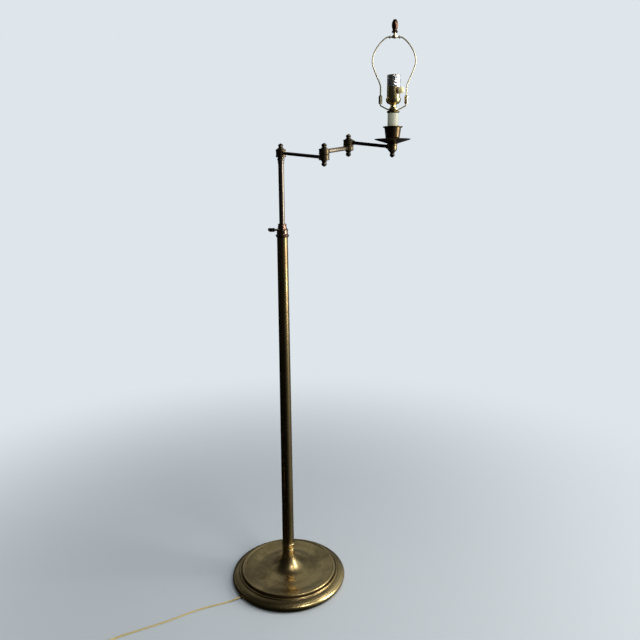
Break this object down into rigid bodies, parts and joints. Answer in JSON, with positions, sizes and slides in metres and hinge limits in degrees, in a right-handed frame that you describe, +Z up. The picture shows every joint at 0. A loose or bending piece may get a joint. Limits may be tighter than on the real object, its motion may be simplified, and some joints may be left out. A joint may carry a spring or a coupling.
{
  "type": "bridge floor lamp",
  "caption": "Free-standing floor lamp: a weighted round base and telescoping column carry jointed swing arms with a drip pan, a candle-style bulb socket and a harp for a shade.",
  "frame": {"origin": "centre of the base where it stands on the floor, under the column", "axes": "+Z up along the column, +X towards the side that the arms reach to, -Y towards the side seen in the picture"},
  "size_m": [0.8905, 0.5213, 1.4626],
  "materials": {
    "aged_brass": "satin",
    "dark_brass": "satin",
    "bright_brass": "polished",
    "collar_brass": "satin",
    "cast_weight": "rough",
    "steel_fittings": "satin",
    "lining_aluminium": "satin",
    "felt": "matte",
    "bushing_rubber": "matte",
    "cord_vinyl": "gloss",
    "plug_plastic": "matte",
    "candle_ivory": "satin",
    "bearing_nylon": "matte",
    "switch_phenolic": "matte",
    "fibre_insulator": "matte",
    "escutcheon_brown": "gloss",
    "knob_cream": "gloss"
  },
  "bodies": {
    "base": {"base_shell": "aged_brass", "base_weight": "cast_weight", "base_felt": "felt", "base_nipple": "steel_fittings", "base_nut": "steel_fittings", "neck_collar": "aged_brass", "column_tube": "aged_brass", "column_collar": "collar_brass", "collar_liner": "bearing_nylon", "cord_bushing": "bushing_rubber", "base_lead": "cord_vinyl", "power_cord": "cord_vinyl", "cord_coil": "cord_vinyl", "plug_body": "plug_plastic", "plug_blades": "bright_brass"},
    "clamp_pad": {"clamp_pad": "bright_brass"},
    "thumbscrew": {"thumbscrew": "dark_brass"},
    "post_guide": {"post_guide": "bearing_nylon"},
    "post": {"post_tube": "aged_brass", "post_cap": "aged_brass", "pole_pivot": "steel_fittings", "pole_washer": "bright_brass", "pole_finial": "dark_brass"},
    "inner_arm": {"inner_arm_hub": "aged_brass", "inner_arm_rod": "dark_brass", "elbow_a_hub": "aged_brass", "elbow_a_stud": "steel_fittings", "elbow_a_washer": "bright_brass", "elbow_a_finials": "dark_brass"},
    "link": {"link_start_hub": "aged_brass", "link_rod": "aged_brass", "link_end_hub": "aged_brass", "elbow_b_stud": "steel_fittings", "elbow_b_washer": "bright_brass", "elbow_b_finials": "dark_brass"},
    "outer_arm": {"outer_arm_hub": "aged_brass", "outer_arm_rod": "dark_brass", "head_hub": "aged_brass", "head_stud": "steel_fittings", "head_finial": "dark_brass", "head_nipple": "steel_fittings", "drip_pan": "aged_brass", "candle_cup": "aged_brass", "candle_sleeve": "candle_ivory", "check_disc": "bright_brass", "harp_saddle": "bright_brass", "socket_neck": "bright_brass", "socket_cap": "bright_brass", "socket_shell": "bright_brass", "insulator_liner": "fibre_insulator", "switch_body": "switch_phenolic", "screw_shell": "lining_aluminium", "switch_escutcheon": "escutcheon_brown", "harp_wire": "bright_brass", "harp_seat": "bright_brass"},
    "switch_knob": {"switch_knob": "knob_cream"},
    "left_ferrule": {"left_ferrule": "bright_brass"},
    "right_ferrule": {"right_ferrule": "bright_brass"},
    "harp_finial": {"finial_insert": "bright_brass", "harp_finial": "dark_brass"}
  },
  "joints": [
    {"name": "post_height", "type": "slide", "parent": "base", "child": "post_guide", "axis": [0, 0, 1], "range_m": [-0.145, 0.15]},
    {"name": "post_turn", "type": "hinge", "parent": "post_guide", "child": "post", "pos_m": [0, 0, 1.1], "axis": [0, 0, 1], "range_deg": [-170, 170]},
    {"name": "clamp_travel", "type": "slide", "parent": "base", "child": "clamp_pad", "axis": [1, 0, 0], "range_m": [-0.00119, 0.00013]},
    {"name": "thumbscrew_turn", "type": "hinge", "parent": "clamp_pad", "child": "thumbscrew", "pos_m": [-0.02, 0, 0.9932], "axis": [1, 0, 0], "range_deg": [-540, 60]},
    {"name": "inner_arm_swing", "type": "hinge", "parent": "post", "child": "inner_arm", "pos_m": [0, 0, 1.18], "axis": [0, 0, 1], "range_deg": [-165, 165]},
    {"name": "elbow_a_swing", "type": "hinge", "parent": "inner_arm", "child": "link", "pos_m": [0.10333, -0.11887, 1.1787], "axis": [0, 0, 1], "range_deg": [-200, 60]},
    {"name": "elbow_b_swing", "type": "hinge", "parent": "link", "child": "outer_arm", "pos_m": [0.1623, -0.05221, 1.2018], "axis": [0, 0, 1], "range_deg": [-90, 170]},
    {"name": "switch_turn", "type": "hinge", "parent": "outer_arm", "child": "switch_knob", "pos_m": [0.26216, -0.08466, 1.3115], "axis": [0.6691, -0.7431, 0], "continuous": true},
    {"name": "left_ferrule_lift", "type": "slide", "parent": "outer_arm", "child": "left_ferrule", "axis": [0, 0, 1], "range_m": [0, 0.008]},
    {"name": "right_ferrule_lift", "type": "slide", "parent": "outer_arm", "child": "right_ferrule", "axis": [0, 0, 1], "range_m": [0, 0.008]},
    {"name": "finial_turn", "type": "hinge", "parent": "outer_arm", "child": "harp_finial", "pos_m": [0.26216, -0.08466, 1.43465], "axis": [0, 0, 1], "continuous": true}
  ],
  "couplings": [
    {"joint": "thumbscrew_turn", "follows": "clamp_travel", "rad_per_m": 7874}
  ]
}
